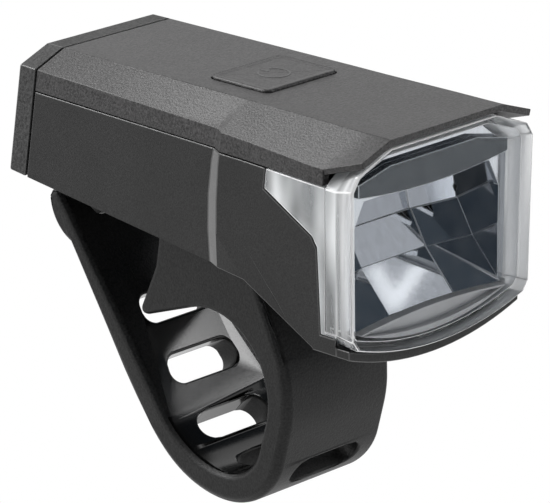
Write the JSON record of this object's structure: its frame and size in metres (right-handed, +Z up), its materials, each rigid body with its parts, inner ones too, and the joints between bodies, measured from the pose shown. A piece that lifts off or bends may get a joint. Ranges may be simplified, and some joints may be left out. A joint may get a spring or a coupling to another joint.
{
  "type": "bicycle headlight",
  "caption": "Boxy battery bicycle lamp with a clear front lens, side windows, faceted reflector, push button and slotted rubber strap mount for a handlebar.",
  "frame": {"origin": "middle of the handlebar's axis inside the strap", "axes": "+X along the handlebar towards the lamp's left side, +Y along the lamp towards its rear (the light leaves along -Y), +Z up out of the flat top"},
  "size_m": [0.0524, 0.0971, 0.0872],
  "materials": {
    "cover_black": "fine spark-eroded texture, dark grey-black",
    "shell_black": "satin moulded black",
    "cap_black": "coarse matt moulded black",
    "seal_rubber": "soft matt rubber",
    "screw_steel": "black-plated steel",
    "lens_clear": "clear polished polycarbonate",
    "reflector_chrome": "vacuum-metallised facets",
    "shade_chrome": "dark metallised face",
    "sill_grey": "satin grey plastic",
    "led_board_white": "metal-core board, white mask",
    "emitter_yellow": "phosphor under clear silicone",
    "sink_aluminium": "plain extruded aluminium",
    "board_green": "glass-fibre laminate, green mask",
    "switch_metal": "pressed steel housing",
    "plunger_black": "moulded plunger",
    "chip_black": "moulded package",
    "coil_dark": "ferrite core",
    "plug_white": "natural nylon",
    "socket_steel": "plated steel shell",
    "battery_film": "blue wrapping film",
    "tray_black": "moulded black",
    "button_rubber": "soft matt rubber, fine texture",
    "flap_rubber": "soft matt rubber",
    "pin_steel": "ground steel pin",
    "mount_black": "glass-filled moulded plastic",
    "strap_rubber": "matt silicone rubber"
  },
  "bodies": {
    "mount": {"rubber_strap": "strap_rubber", "mount_plate": "mount_black", "saddle_screws": "screw_steel"},
    "button": {"power_button": "button_rubber", "switch_plunger": "plunger_black"},
    "flap": {"usb_flap": "flap_rubber"},
    "lamp": {"top_cover": "cover_black", "lower_shell": "shell_black", "rear_cap": "cap_black", "cap_seal": "seal_rubber", "cap_screws": "screw_steel", "case_screws": "screw_steel", "front_lens": "lens_clear", "reflector": "reflector_chrome", "reflector_shade": "shade_chrome", "lens_sill": "sill_grey", "led_board": "led_board_white", "led_emitter": "emitter_yellow", "heat_sink": "sink_aluminium", "main_board": "board_green", "board_screws": "screw_steel", "tact_switch": "switch_metal", "driver_chip": "chip_black", "power_coil": "coil_dark", "battery_plug": "plug_white", "charge_socket": "socket_steel", "battery_pack": "battery_film", "battery_tray": "tray_black", "flap_pin": "pin_steel"}
  },
  "joints": [
    {"name": "lamp_slide", "type": "slide", "parent": "mount", "child": "lamp", "axis": [0, -0.9935, -0.1142], "range_m": [0, 0.03]},
    {"name": "button_press", "type": "slide", "parent": "lamp", "child": "button", "axis": [0, 0, -1], "range_m": [0, 0.0006], "stiffness_N_per_m": 2000},
    {"name": "flap_hinge", "type": "hinge", "parent": "lamp", "child": "flap", "pos_m": [0, 0.0444, 0.0508], "axis": [-1, 0, 0], "range_deg": [0, 90]}
  ]
}
